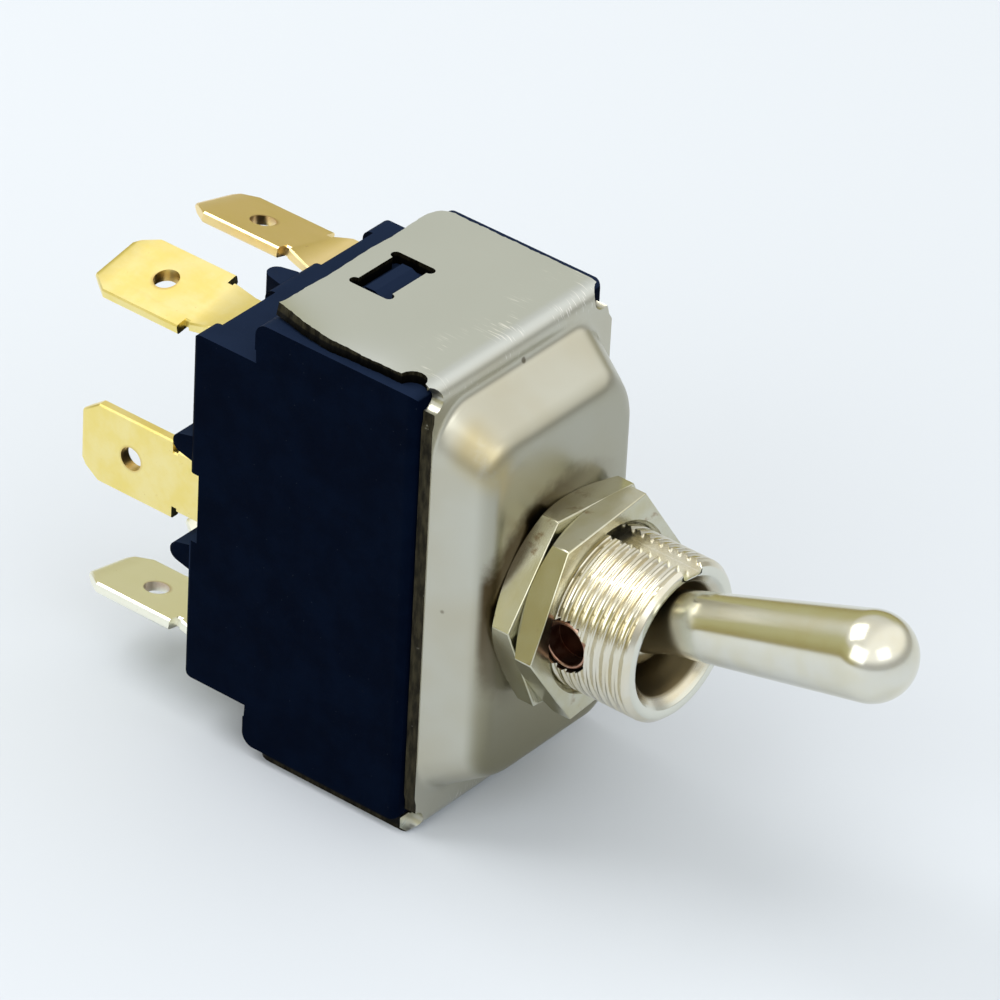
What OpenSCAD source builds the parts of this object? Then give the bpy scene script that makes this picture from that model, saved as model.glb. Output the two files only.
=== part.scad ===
// Two-pole panel toggle switch, on-on, with six quick-connect tabs.
// Millimetres. X is the width, -Y points out of the panel along the bushing,
// +Z is the side with the keyway and the end the lever is thrown to.
// The origin is on the bushing axis, at the front face of the outer nut.

/* [Case] */
// Width of the moulded case
case_w = 19.86; // [19.2:0.1:21.5]
// Length of the front block of the case, along Z
block_h = 34.4; // [33.6:0.1:37]
// Depth of the front block, behind the cover plate
block_d = 13.9; // [13.6:0.1:15]
// Length of the rear block of the case, along Z
rear_h = 28.0; // [27.8:0.1:29]
// Depth of the rear block that carries the tabs
rear_d = 5.6; // [5.2:0.1:7]
// Thickness of the outer side walls
wall_t = 1.5; // [1.2:0.05:1.6]
// Thickness of the wall between the two poles
mid_wall_t = 1.2; // [0.8:0.1:1.6]
// Thickness of the case floor
floor_t = 2.85; // [2.2:0.05:3.1]
// Radius of the moulded front and end edges
edge_r = 1.0; // [0.5:0.1:1.2]
// Height of the barrier ribs on the rear face
rib_h = 1.7; // [1:0.1:2.5]
// Width of a barrier rib at its root
rib_w = 2.0; // [1.7:0.1:2.2]
// Distance of the cross ribs from the middle
rib_z = 4.45; // [4.4:0.05:4.8]
// Depth of the pocket around each tab
pocket_d = 0.9; // [0.4:0.05:1.1]
// Width of the pocket around each tab
pocket_w = 5.5; // [5.3:0.1:5.8]
// Width of the snap lugs on the case ends
lug_w = 3.9; // [3:0.1:4.4]

/* [Cover] */
// Thickness of the cover sheet
cover_t = 0.95; // [0.7:0.05:1.1]
// Width of the cover plate
cover_w = 19.0; // [18.7:0.1:19.1]
// Height of the drawn dome above the plate
dome_rise = 4.1; // [3.7:0.1:4.6]
// Width of the flat top of the dome, edge to edge
dome_w = 15.8; // [15.2:0.1:16]
// Length of the flat top of the dome, edge to edge
dome_h = 27.4; // [26:0.1:28]
// Width of the dome where it leaves the plate
dome_base_w = 18.7; // [18:0.1:18.8]
// Length of the dome where it leaves the plate
dome_base_h = 32.0; // [30:0.1:32.4]
// Rounding of the dome's top edge
dome_r = 1.8; // [1.4:0.1:2.2]
// Corner radius of the dome seen from the front
dome_corner_r = 3.4; // [2.8:0.1:4]
// Width of the end flaps
flap_w = 17.8; // [17.2:0.1:18.2]
// Sideways place of the flaps' middle
flap_x = -0.45; // [-0.5:0.05:0.3]
// Height of the plate's shoulders, where it narrows to the flaps beside the dome's foot
shoulder_h = 1.0; // [0.6:0.1:1.2]
// Length of the end flaps, from the plate's face to the rear edge
flap_d = 14.3; // [13.8:0.1:14.5]
// Outside radius of the flap bends
bend_r = 1.3; // [1.25:0.05:1.6]
// Radius of the flap's rear corners
flap_corner_r = 1.2; // [0.6:0.1:2]
// Width of the snap slot in a flap
slot_w = 5.1; // [4.9:0.1:5.2]
// Length of the snap slot, along the flap
slot_d = 2.95; // [2.8:0.05:3.2]
// Radius of the relief lobes at the slot's corners
slot_relief = 0.38; // [0.25:0.01:0.5]
// Middle of the snap slot, behind the plate's face
slot_y = 11.1; // [10.6:0.1:11.4]

/* [Bushing and nuts] */
// Major radius of the bushing's thread
bush_r = 5.95; // [5.8:0.01:6.1]
// Depth below the crest at which the nuts' and the bushing's threads meet
meet_d = 0.22; // [0.12:0.01:0.3]
// Length of the bushing in front of the dome
bush_l = 10.35; // [9.9:0.05:14]
// Radius of the bushing's bore
bore_r = 4.15; // [4.1:0.05:4.4]
// Radius of the countersunk mouth
mouth_r = 4.9; // [4.6:0.05:5]
// Width of the keyway
key_w = 2.2; // [1.6:0.1:2.6]
// Depth of the keyway below the thread crest
key_d = 0.95; // [0.6:0.05:1.1]
// Turn of the keyway off the throw plane, in degrees
key_turn = 8; // [0:1:10]
// Width of the bushing's inner base
base_w = 12.8; // [12.4:0.1:13]
// Length of the bushing's inner base
base_h = 20.0; // [16:0.5:21]
// Thickness of the bushing's inner base
base_t = 1.3; // [0.8:0.1:1.4]
// Hexagon nut, across the flats
nut_af = 14.29; // [14:0.05:15]
// Thickness of one nut
nut_t = 2.06; // [1.8:0.02:2.3]
// Turn of the inner nut, in degrees
nut_in_turn = -6.4; // [-30:0.1:30]
// Turn of the outer nut, in degrees
nut_out_turn = 4.9; // [-30:0.1:30]

/* [Lever] */
// Throw of the lever to each side, in degrees
throw_a = 16.75; // [14:0.25:16.75]
// Distance of the pivot in front of the dome
pivot_y = 4.8; // [4.7:0.05:4.9]
// Radius of the pivot pin
pin_r = 1.8; // [1.4:0.05:1.9]
// Length of the pivot pin
pin_l = 10.9; // [10:0.1:11.2]
// Radius of the lever's pivot ball
hub_r = 3.9; // [3.7:0.05:4]
// Radius of the lever's neck at the mouth
neck_r = 2.25; // [2:0.05:2.3]
// Radius of the lever's rounded end
tip_r = 3.15; // [2.6:0.05:3.6]
// Distance from the pivot to the centre of the rounded end
lever_l = 21.9; // [17:0.1:28]
// Radius of the lever's tail in the rocker arm
tail_r = 1.75; // [1.4:0.05:1.8]

/* [Mechanism] */
// Distance of each pole from the middle
pole_x = 4.9; // [4.8:0.05:5]
// Distance from the pivot to the centre of the plunger's round end
reach = 19.6; // [19.5:0.05:19.8]
// Radius of a plunger
plunger_r = 1.68; // [1.5:0.02:1.8]
// Wall of a plunger's barrel
barrel_wall = 0.85; // [0.6:0.05:0.95]
// Thickness of the arm, front to back
arm_t = 5.2; // [5:0.1:5.4]
// Spring wire radius
wire_r = 0.18; // [0.1:0.01:0.2]
// Number of turns in a plunger spring
turns = 7; // [4:1:9]
// Tilt of a contact blade to each side, in degrees
tilt_a = 5.5; // [4.5:0.25:6]
// Thickness of a contact blade
blade_t = 0.8; // [0.6:0.05:0.9]
// Width of a contact blade
blade_w = 4.4; // [3.8:0.1:4.6]
// Distance from the fulcrum to a moving contact
contact_z = 9.0; // [8.8:0.05:9.2]
// Radius of a contact's head
contact_r = 1.4; // [1:0.05:1.5]
// Thickness of a contact's head
contact_t = 0.6; // [0.4:0.05:0.7]
// Radius of the blade's bearing rib
bead_r = 0.6; // [0.5:0.05:0.7]

/* [Tabs] */
// Width of a quick-connect tab
tab_w = 6.35; // [6.2:0.05:6.6]
// Thickness of the tab strip
tab_t = 0.8; // [0.7:0.05:0.85]
// Length of a tab behind the case
tab_l = 11.05; // [10:0.05:13]
// Width of the neck where the tab leaves the case
neck_w = 5.0; // [4.6:0.1:5.2]
// Length of the neck behind the case
neck_l = 2.75; // [2.4:0.05:3.2]
// Length of the chamfer at a tab's end
tab_chamfer = 1.6; // [1:0.1:2]
// Radius of the hole in a tab
tab_hole_r = 0.9; // [0.6:0.05:1]
// Distance from a tab's end to its hole
tab_hole_y = 4.55; // [4:0.05:5]
// Distance of the end tabs' columns from the middle
tab_x = 5.15; // [5.1:0.05:5.2]
// Distance of the end tabs from the middle, along Z
tab_z = 12.7; // [12.6:0.05:12.8]
// Distance of the middle tabs inside the case's side faces
mid_tab_in = 1.98; // [1.98:0.01:2.03]
// Twist of the upper tab on the -X side, in degrees
twist_up_a = 11; // [-15:1:15]
// Twist of the upper tab on the +X side, in degrees
twist_up_b = -15; // [-18:1:15]
// Twist of the lower tab on the -X side, in degrees
twist_down_a = -11; // [-15:1:15]
// Twist of the lower tab on the +X side, in degrees
twist_down_b = 11; // [-15:1:15]

/* [Clearances] */
// Radial gap between the nuts and the thread
thread_gap = 0.05; // [0.02:0.01:0.1]
// Radial running gap of the pin, the plungers and the blade ribs
run_gap = 0.05; // [0.03:0.01:0.08]
// Gap around a tab strip in the case
strip_gap = 0.04; // [0.02:0.01:0.06]
// Gap left between touching contacts
touch_gap = 0.03; // [0.02:0.01:0.05]

/* [Hidden] */
// from the dome's top to the front face of the outer nut
seat = 2 * nut_t;
// radius at which the threads of the bushing and the nuts meet
meet_r = bush_r - meet_d;
// the middle tabs' places along X
mid_tab_x = case_w / 2 - mid_tab_in;
// depths behind the dome's top: plate inside, block's shoulder, rear face
plate_y = dome_rise + cover_t;
shoulder_y = plate_y + block_d;
rear_y = shoulder_y + rear_d;
floor_y = rear_y - floor_t;
flap_z = block_h / 2 + cover_t;
// the cavity that holds the blades and the arm
cav_x = case_w / 2 - wall_t;
cav_z = tab_z + tab_t / 2 + 0.2;
// the contact blade, seen along X from its fulcrum; u is towards the lever
mesh_h = plunger_r + touch_gap + blade_t + 0.1;
far_z = reach * sin(throw_a);
far_u = mesh_h + reach * (1 - cos(throw_a));
path_z = far_z * cos(tilt_a) - far_u * sin(tilt_a);
path_u = far_z * sin(tilt_a) + far_u * cos(tilt_a) - mesh_h;
path_r = (path_z * path_z + path_u * path_u) / (2 * path_u);
dish_r = path_r + plunger_r + touch_gap;
dish_u = mesh_h + path_r;
wing_z = contact_z - contact_r - 0.8;
wing_u = dish_u - sqrt(dish_r * dish_r - wing_z * wing_z);
blade_z = contact_z + contact_r + 0.2;
pad_u = wing_u + (contact_z - wing_z) * tan(tilt_a) - blade_t;
fulcrum_y = reach + mesh_h - pivot_y;
// where a moving contact lands when its side is closed
land_u = (pad_u - contact_t) * cos(tilt_a) - contact_z * sin(tilt_a);
land_z = contact_z * cos(tilt_a) + (pad_u - contact_t) * sin(tilt_a);
land_y = fulcrum_y - land_u + touch_gap;
foot_y = land_y + contact_t;
ledge_y = foot_y + tab_t;
ledge_z = land_z - contact_r - 0.35;
// the arm on the lever's tail
arm_s = 9.0;
arm_l = 5.6;
barrel_s = reach - 1.4;
barrel_r = plunger_r + run_gap + barrel_wall;
well_s = 10.6;
cup_s = reach - 1.6;
cup_r = plunger_r - 0.45;

// draws children with depths measured from the dome's top
module from_dome() { translate([0, seat, 0]) children(); }

// extrudes a profile drawn in (Y, Z) along X, centred
module along_x(w) {
  rotate([90, 0, 90]) translate([0, 0, -w / 2]) linear_extrude(w) children();
}

// extrudes a profile drawn in (X, Z) along +Y from depth y0
module along_y(y0, l) {
  translate([0, y0, 0]) rotate([-90, 0, 0]) linear_extrude(l) mirror([0, 1]) children();
}

// extrudes a profile drawn in (X, Y) along Z, centred
module along_z(h) { translate([0, 0, -h / 2]) linear_extrude(h) children(); }

// a rectangle with its low corner at (x, y) and every corner rounded
module round_rect(x, y, w, h, r) {
  translate([x + r, y]) square([w - 2 * r, h]);
  translate([x, y + r]) square([w, h - 2 * r]);
  for (i = [0, 1], j = [0, 1])
    translate([x + r + i * (w - 2 * r), y + r + j * (h - 2 * r)]) circle(r, $fn = 48);
}

// half size of the dome at depth y, for a flat top t0, a base t1 and an edge radius r
function lean(t0, t1) = atan((t1 - t0) / dome_rise);
function dome_half(y, t0, t1, r) =
  let (b = lean(t0, t1), reach_t = r * tan((90 - b) / 2), drop = r * (1 - sin(b)))
  y < drop ? t0 - reach_t + sqrt(max(0, r * r - (r - y) * (r - y))) : t0 + y * tan(b);

// one thin slice of the dome
module dome_slice(y, hx, hz, r) {
  along_y(y, 0.01) translate([-hx, -hz]) round_slice(2 * hx, 2 * hz, r);
}
module round_slice(w, h, r) {
  for (i = [0, 1], j = [0, 1])
    translate([r + i * (w - 2 * r), r + j * (h - 2 * r)]) circle(r, $fn = 32);
}

// the dome's outside, or its inside when t is the sheet thickness
module dome_body(t, y_end) {
  bx = lean(dome_w / 2, dome_base_w / 2);
  bz = lean(dome_h / 2, dome_base_h / 2);
  dx = t * (1 - sin(bx)) / cos(bx);
  dz = t * (1 - sin(bz)) / cos(bz);
  r = dome_r - t;
  hull() for (y = [0, 0.06, 0.22, 0.5, 0.95, dome_rise + y_end - t])
    dome_slice(y + t, dome_half(y, dome_w / 2 - dx, dome_base_w / 2 - dx, r),
               dome_half(y, dome_h / 2 - dz, dome_base_h / 2 - dz, r), dome_corner_r - t);
}

// the case's outline seen from the side, with the leaning shoulder
module case_side() {
  difference() {
    union() {
      round_rect(plate_y, -block_h / 2, block_d + 0.15, block_h, edge_r);
      translate([plate_y + 4, -rear_h / 2]) square([block_d + rear_d - 5, rear_h]);
      round_rect(rear_y - 4, -rear_h / 2, 4, rear_h, 0.8);
    }
    for (s = [-1, 1]) polygon([[shoulder_y, s * rear_h / 2], [shoulder_y + 2, s * rear_h / 2],
      [shoulder_y + 2, s * (rear_h / 2 + 1)], [shoulder_y + 0.05, s * (rear_h / 2 + 1)]]);
  }
}

// a barrier rib's nose, root at (0, 0), pointing +x
module rib_nose() {
  nose = rib_w * 0.36;
  polygon([[-0.6, -rib_w / 2], [-0.6, rib_w / 2], [0, rib_w / 2],
           [rib_h - nose * 0.6, nose * 0.95], [rib_h - nose * 0.6, -nose * 0.95], [0, -rib_w / 2]]);
  translate([rib_h - nose, 0]) circle(nose, $fn = 32);
}

// pockets, ribs, cavity and slots of the moulded case
module case_body() {
  color([0.06, 0.07, 0.11]) from_dome() difference() {
    union() {
      intersection() {
        along_x(case_w) case_side();
        along_z(block_h + 2) union() {
          round_rect(-case_w / 2, plate_y, case_w, 6, edge_r);
          translate([-case_w / 2, plate_y + 3]) square([case_w, 8]);
          round_rect(-case_w / 2, rear_y - 14, case_w, 14, 0.5);
        }
      }
      for (s = [-1, 1]) {
        translate([0, 0, s * rib_z]) along_x(case_w - 0.6) translate([rear_y, 0]) rib_nose();
        translate([flap_x, 0, 0]) along_x(lug_w) polygon([[plate_y + 7, s * (block_h / 2 - 0.5)],
          [lug_front, s * block_h / 2], [lug_front + 1.25, s * (block_h / 2 + 0.66)],
          [lug_back, s * (block_h / 2 + 0.66)], [lug_back, s * (block_h / 2 - 0.5)]]);
      }
      along_z(rear_h - 0.6) translate([0, rear_y]) rotate(90) rib_nose();
    }
    // pockets around the tabs
    for (i = [-1, 1]) {
      translate([i * (case_w / 2 - 1.5 + 0.5), rear_y, 0]) cube([5, 2 * pocket_d, pocket_w], center = true);
      for (j = [-1, 1]) translate([i * tab_x, rear_y, j * (rear_h / 2 - 0.6)])
        cube([pocket_w, 2 * pocket_d, 3.4], center = true);
    }
    // space for the arm, then the two pole chambers
    translate([-cav_x, plate_y - 1, -cav_z]) cube([2 * cav_x, 1 + arm_space, 2 * cav_z]);
    for (i = [-1, 1]) translate([i * (cav_x + mid_wall_t / 2) / 2, 0, 0]) {
      chamber(plate_y, ledge_y, cav_z);
      chamber(plate_y, floor_y, ledge_z);
    }
    // slots for the tab strips
    for (i = [-1, 1]) {
      slot_box(i * mid_tab_x, 0, tab_t, neck_w, floor_y - 1);
      for (j = [-1, 1]) slot_box(i * tab_x, j * tab_z, neck_w, tab_t, ledge_y - 1);
    }
  }
}
lug_front = dome_rise + slot_y - slot_d / 2 + 0.1;
lug_back = dome_rise + slot_y + slot_d / 2 - 0.75;
arm_space = arm_s + arm_l - pivot_y - plate_y + 1.2;
module chamber(y0, y1, z) {
  w = cav_x - mid_wall_t / 2;
  translate([-w / 2, y0, -z]) cube([w, y1 - y0, 2 * z]);
}
module slot_box(x, z, w, h, y0) {
  translate([x - w / 2 - strip_gap, y0, z - h / 2 - strip_gap])
    cube([w + 2 * strip_gap, rear_y + 1 - y0, h + 2 * strip_gap]);
}

// the drawn cover: plate, dome and two flaps in one sheet
module cover_body() {
  color([0.72, 0.72, 0.68]) from_dome() difference() {
    union() {
      intersection() {
        along_x(cover_w) difference() {
          union() {
            round_rect(dome_rise, -flap_z, 6, 2 * flap_z, bend_r);
            translate([dome_rise + 3, -flap_z]) square([flap_d - 3, 2 * flap_z]);
          }
          round_rect(plate_y, -block_h / 2, flap_d + 4, block_h, bend_r - cover_t);
        }
        union() {
          along_z(dome_base_h - 2 * shoulder_h)
            translate([-cover_w / 2, 0]) square([cover_w, dome_rise + bend_r]);
          along_z(2 * flap_z + 2) translate([flap_x - flap_w / 2, 0]) {
            square([flap_w, dome_rise + flap_d - flap_corner_r]);
            round_rect(0, dome_rise, flap_w, flap_d, flap_corner_r);
          }
        }
      }
      dome_body(0, 0.4);
    }
    dome_body(cover_t, cover_t + 0.5);
    translate([0, -1, 0]) rotate([-90, 0, 0]) cylinder(r = bush_r + thread_gap, h = 3, $fn = 64);
    along_z(2 * flap_z + 2) translate([flap_x - slot_w / 2, dome_rise + slot_y - slot_d / 2]) {
      square([slot_w, slot_d]);
      for (i = [0, 1], j = [0, 1])
        translate([slot_relief + i * (slot_w - 2 * slot_relief), j * slot_d]) circle(slot_relief, $fn = 24);
    }
    // relief notches at the ends of the bends
    for (i = [-1, 1], j = [-1, 1])
      translate([flap_x + i * flap_w / 2, dome_rise - 0.5, j * (block_h / 2 - 0.1)])
        rotate([-90, 0, 0]) cylinder(r = 0.9, h = bend_r + 0.5, $fn = 32);
  }
}

// threaded bushing with its base under the dome
module bushing_body() {
  color([0.74, 0.74, 0.7]) from_dome() difference() {
    union() {
      rotate([90, 0, 0]) rotate_extrude($fn = 96) polygon([[0, -cover_t - 0.2], [bush_r, -cover_t - 0.2],
        [bush_r, 0], [meet_r, 0], [meet_r, seat], [bush_r, seat], [bush_r, bush_l - 0.4],
        [bush_r - 0.4, bush_l], [0, bush_l]]);
      along_y(cover_t, base_t) round_rect(-base_w / 2, -base_h / 2, base_w, base_h, 1);
    }
    rotate([90, 0, 0]) rotate_extrude($fn = 96) polygon([[0, -6], [bore_r, -6], [bore_r, bush_l - 0.75],
      [mouth_r, bush_l], [mouth_r + 1, bush_l + 1], [0, bush_l + 1]]);
    rotate([0, key_turn, 0]) translate([-key_w / 2, -bush_l - 1, bush_r - key_d])
      cube([key_w, bush_l + 0.7, key_d + 1]);
    translate([-8, -pivot_y, 0]) rotate([0, 90, 0]) cylinder(r = pin_r + run_gap, h = 16, $fn = 48);
    for (s = [-1, 1]) translate([s * (bush_r - 0.35), -pivot_y, 0]) rotate([0, s * 90, 0])
      cylinder(r = pin_r + 0.18, h = 2, $fn = 48);
  }
}

// hexagon nut with its chamfered side towards the dome
module nut_body(y, a) {
  rim_r = nut_af / sqrt(3);
  from_dome() translate([0, y, 0]) difference() {
    intersection() {
      rotate([0, -a, 0]) along_y(-nut_t, nut_t) circle(rim_r, $fn = 6);
      rotate([90, 0, 0]) rotate_extrude($fn = 96) polygon([[0, -0.01], [nut_af / 2 - 0.1, -0.01],
        [nut_af / 2 - 0.1, 0], [rim_r + 0.2, (rim_r + 0.3 - nut_af / 2) * tan(30)],
        [rim_r + 0.2, nut_t + 0.01], [0, nut_t + 0.01]]);
    }
    rotate([90, 0, 0]) rotate_extrude($fn = 96) polygon([[0, -1], [bush_r + 1.4, -1],
      [meet_r + thread_gap, 0.4 + meet_d - thread_gap],
      [meet_r + thread_gap, nut_t - 0.4 - meet_d + thread_gap],
      [bush_r + 1.4, nut_t + 1], [0, nut_t + 1]]);
  }
}
module nut_in_body() { color([0.7, 0.71, 0.68]) nut_body(0, nut_in_turn); }
module nut_out_body() { color([0.7, 0.71, 0.68]) nut_body(-nut_t, nut_out_turn); }

// turns children about the pivot, drawn with the lever pointing +Z from the pivot
module on_lever() {
  from_dome() translate([0, -pivot_y, 0]) rotate([90 - throw_a, 0, 0]) children();
}

// bat lever: ball, tapered bat, round end and tail
module lever_body() {
  color([0.76, 0.76, 0.72]) on_lever() difference() {
    union() {
      sphere(hub_r, $fn = 64);
      rotate_extrude($fn = 64) polygon([[0, 0], [neck_r + 0.2, 0], [neck_r + 0.2, 3.4],
        [neck_r, 4.4], [neck_r, 5.6], [tip_r, lever_l], [0, lever_l]]);
      translate([0, 0, lever_l]) sphere(tip_r, $fn = 64);
      translate([0, 0, -arm_s - arm_l + 0.8]) cylinder(r = tail_r, h = arm_s + arm_l, $fn = 48);
    }
    rotate([0, 90, 0]) cylinder(r = pin_r + run_gap, h = 20, center = true, $fn = 48);
  }
}

// hollow-ended pivot pin
module pin_body() {
  color([0.62, 0.42, 0.3]) from_dome() translate([0, -pivot_y, 0]) rotate([0, 90, 0]) difference() {
    cylinder(r = pin_r, h = pin_l, center = true, $fn = 48);
    for (s = [-1, 1]) translate([0, 0, s * (pin_l / 2)])
      cylinder(r = pin_r - 0.4, h = 2.4, center = true, $fn = 48);
  }
}

// moulded arm on the tail, with one barrel over each pole
module arm_body() {
  color([0.82, 0.8, 0.72]) on_lever() difference() {
    union() {
      translate([0, 0, -arm_s - arm_l / 2])
        cube([2 * pole_x + 2 * barrel_r - 0.2, arm_t, arm_l], center = true);
      for (i = [-1, 1]) translate([i * pole_x, 0, -barrel_s])
        cylinder(r = barrel_r, h = barrel_s - arm_s, $fn = 48);
    }
    translate([0, 0, -arm_s - arm_l + 0.8]) cylinder(r = tail_r + 0.02, h = 20, $fn = 48);
    for (i = [-1, 1]) translate([i * pole_x, 0, -barrel_s - 1])
      cylinder(r = plunger_r + run_gap, h = barrel_s + 1 - well_s, $fn = 48);
  }
}

// hollow plunger with a round end
module plunger_body(i) {
  color([0.85, 0.83, 0.78]) on_lever() translate([i * pole_x, 0, 0]) difference() {
    union() {
      translate([0, 0, -reach]) sphere(plunger_r, $fn = 48);
      translate([0, 0, -reach]) cylinder(r = plunger_r, h = reach - well_s - 3, $fn = 48);
    }
    translate([0, 0, -cup_s]) cylinder(r = cup_r, h = cup_s, $fn = 48);
  }
}

// round wire coil with closed ends, along Z from z0 over length l
function ring(c, a, rise, n) = [for (k = [0 : n - 1]) let (b = 360 * k / n)
  [(c + wire_r * cos(b)) * cos(a), (c + wire_r * cos(b)) * sin(a), rise + wire_r * sin(b)]];
module coil(c, l, z0) {
  n = 8;
  m = turns * 14;
  points = [for (k = [0 : m]) each ring(c, 360 * turns * k / m, z0 + wire_r + (l - 2 * wire_r) * k / m, n)];
  sides = [for (k = [0 : m - 1], j = [0 : n - 1]) each
    [[k * n + j, (k + 1) * n + j, (k + 1) * n + (j + 1) % n],
     [k * n + j, (k + 1) * n + (j + 1) % n, k * n + (j + 1) % n]]];
  caps = [[for (j = [0 : n - 1]) j], [for (j = [0 : n - 1]) m * n + n - 1 - j]];
  polyhedron(points, concat(sides, caps), convexity = 8);
}
module spring_body(i) {
  color([0.6, 0.6, 0.62]) on_lever() translate([i * pole_x, 0, 0])
    coil(cup_r - wire_r - 0.12, cup_s - well_s, -cup_s);
}

// puts children, drawn in (Z, u) about the fulcrum, at rest on the pole
module on_blade(i) {
  from_dome() translate([i * pole_x, fulcrum_y, 0]) rotate([tilt_a, 0, 0]) children();
}
// extrudes a profile drawn in (z, u) along X, with u towards the lever
module blade_slab(w) {
  rotate([90, 0, 90]) translate([0, 0, -w / 2]) linear_extrude(w) rotate(90) children();
}

// height of a wing's top face at distance d past the dish
function wing_top(d) = wing_u + d * tan(tilt_a);
// dished contact blade that rocks on its bearing rib
module blade_body(i) {
  color([0.72, 0.45, 0.3]) on_blade(i) difference() {
    union() {
      blade_slab(blade_w) intersection() {
        translate([0, dish_u]) circle(dish_r + blade_t, $fn = 96);
        translate([-wing_z, -3]) square([2 * wing_z, 3 + wing_u + 1]);
      }
      for (s = [0, 1]) blade_slab(blade_w) mirror([s, 0]) polygon([[wing_z - 1, wing_top(-1)],
        [wing_z - 1, wing_top(-1) - blade_t], [wing_z + 0.3, wing_top(0.3) - blade_t],
        [blade_z, wing_top(blade_z - wing_z) - blade_t], [blade_z, wing_top(blade_z - wing_z)]]);
      blade_slab(blade_w) circle(bead_r, $fn = 32);
    }
    blade_slab(blade_w + 1) translate([0, dish_u]) circle(dish_r, $fn = 96);
    for (s = [-1, 1]) at_contact(s) cylinder(r = contact_r / 2 + 0.02, h = 6, center = true, $fn = 32);
  }
}
// the moving contact's place: its axis through the wing, +Z towards the lever
module at_contact(s) {
  translate([0, -pad_u, s * contact_z]) rotate([90 + s * tilt_a, 0, 0]) children();
}
module moving_contacts(i) {
  color([0.8, 0.8, 0.8]) on_blade(i) for (s = [-1, 1]) at_contact(s) {
    translate([0, 0, -contact_t]) cylinder(r = contact_r, h = contact_t, $fn = 40);
    translate([0, 0, -0.1]) cylinder(r = contact_r / 2, h = blade_t + 0.1, $fn = 32);
  }
}

// fixed contacts, riveted to the feet of the end terminals
module fixed_contacts(i) {
  color([0.8, 0.8, 0.8]) from_dome() for (s = [-1, 1])
    translate([i * pole_x, land_y, s * land_z]) rotate([-90, 0, 0]) {
      cylinder(r = contact_r, h = contact_t, $fn = 40);
      cylinder(r = contact_r / 2, h = contact_t + tab_t, $fn = 32);
    }
}

// outline of a tab from its neck to its end, drawn in (width, y) from the rear face
module tab_blade() {
  polygon([[-neck_w / 2, 0], [-neck_w / 2, neck_l], [-tab_w / 2, neck_l], [-tab_w / 2, tab_l - tab_chamfer],
    [-tab_w / 2 + tab_chamfer * 0.72, tab_l], [tab_w / 2 - tab_chamfer * 0.72, tab_l],
    [tab_w / 2, tab_l - tab_chamfer], [tab_w / 2, neck_l], [neck_w / 2, neck_l], [neck_w / 2, 0]]);
}
// a tab behind the case, flat in XY, twisted at its neck; y is 0 at the rear face
module tab_end(twist) {
  n0 = 0.5;
  n1 = neck_l - 0.4;
  translate([-neck_w / 2, -0.6, -tab_t / 2]) cube([neck_w, n0 + 0.61, tab_t]);
  if (twist == 0) translate([-neck_w / 2, n0, -tab_t / 2]) cube([neck_w, n1 - n0 + 0.01, tab_t]);
  else hull() {
    translate([-neck_w / 2, n0, -tab_t / 2]) cube([neck_w, 0.01, tab_t]);
    rotate([0, -twist, 0]) translate([-neck_w / 2, n1, -tab_t / 2]) cube([neck_w, 0.01, tab_t]);
  }
  rotate([0, -twist, 0]) difference() {
    translate([0, 0, -tab_t / 2]) linear_extrude(tab_t) intersection() {
      tab_blade();
      translate([-tab_w, n1]) square([2 * tab_w, tab_l]);
    }
    translate([0, tab_l - tab_hole_y, 0]) cylinder(r = tab_hole_r, h = 3, center = true, $fn = 32);
    for (s = [-1, 1]) translate([s * neck_w / 2, neck_l, 0])
      cylinder(r = 0.28, h = 3, center = true, $fn = 24);
  }
}

// end terminal: tab, strip through the floor and a foot on the ledge
module end_terminal(i, j, twist) {
  color([0.83, 0.68, 0.34]) from_dome() difference() {
    union() {
      translate([i * tab_x, 0, 0]) along_x(neck_w) {
        translate([foot_y + 0.8, j * tab_z - tab_t / 2]) square([rear_y - foot_y - 0.9, tab_t]);
        polygon([[foot_y, j * ledge_z], [foot_y, j * (tab_z + tab_t / 2 - 0.6)],
          [foot_y + 0.6, j * (tab_z + tab_t / 2)], [foot_y + 1, j * (tab_z + tab_t / 2)],
          [foot_y + 1, j * (tab_z - tab_t / 2)], [ledge_y, j * (tab_z - tab_t / 2)], [ledge_y, j * ledge_z]]);
      }
      translate([i * tab_x, rear_y, j * tab_z]) tab_end(twist);
    }
    translate([i * pole_x, ledge_y, j * land_z]) rotate([90, 0, 0])
      cylinder(r = contact_r / 2 + 0.02, h = 3, center = true, $fn = 32);
  }
}

// middle terminal: tab, strip along the side wall, foot and two bearing ears
module mid_terminal(i) {
  ear_x = blade_w / 2 - 0.35;
  color([0.83, 0.68, 0.34]) from_dome() {
    translate([0, 0, -neck_w / 2]) linear_extrude(neck_w) {
      translate([i * mid_tab_x - tab_t / 2, floor_y - 0.4]) square([tab_t, floor_t + 0.4]);
      polygon([[i * (pole_x - ear_x), floor_y], [i * (mid_tab_x + tab_t / 2), floor_y],
        [i * (mid_tab_x + tab_t / 2), floor_y - tab_t + 0.5],
        [i * (mid_tab_x + tab_t / 2 - 0.5), floor_y - tab_t], [i * (pole_x - ear_x), floor_y - tab_t]]);
    }
    for (e = [-1, 1]) translate([i * pole_x + e * (ear_x - tab_t / 2), 0, 0]) along_x(tab_t) difference() {
      translate([fulcrum_y + 0.2, -1.5]) square([floor_y - fulcrum_y - 0.6, 3]);
      translate([fulcrum_y, 0]) circle(bead_r + run_gap, $fn = 32);
    }
    translate([i * mid_tab_x, rear_y, 0]) rotate([0, 90, 0]) tab_end(0);
  }
}

/* [Hidden] */

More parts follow.
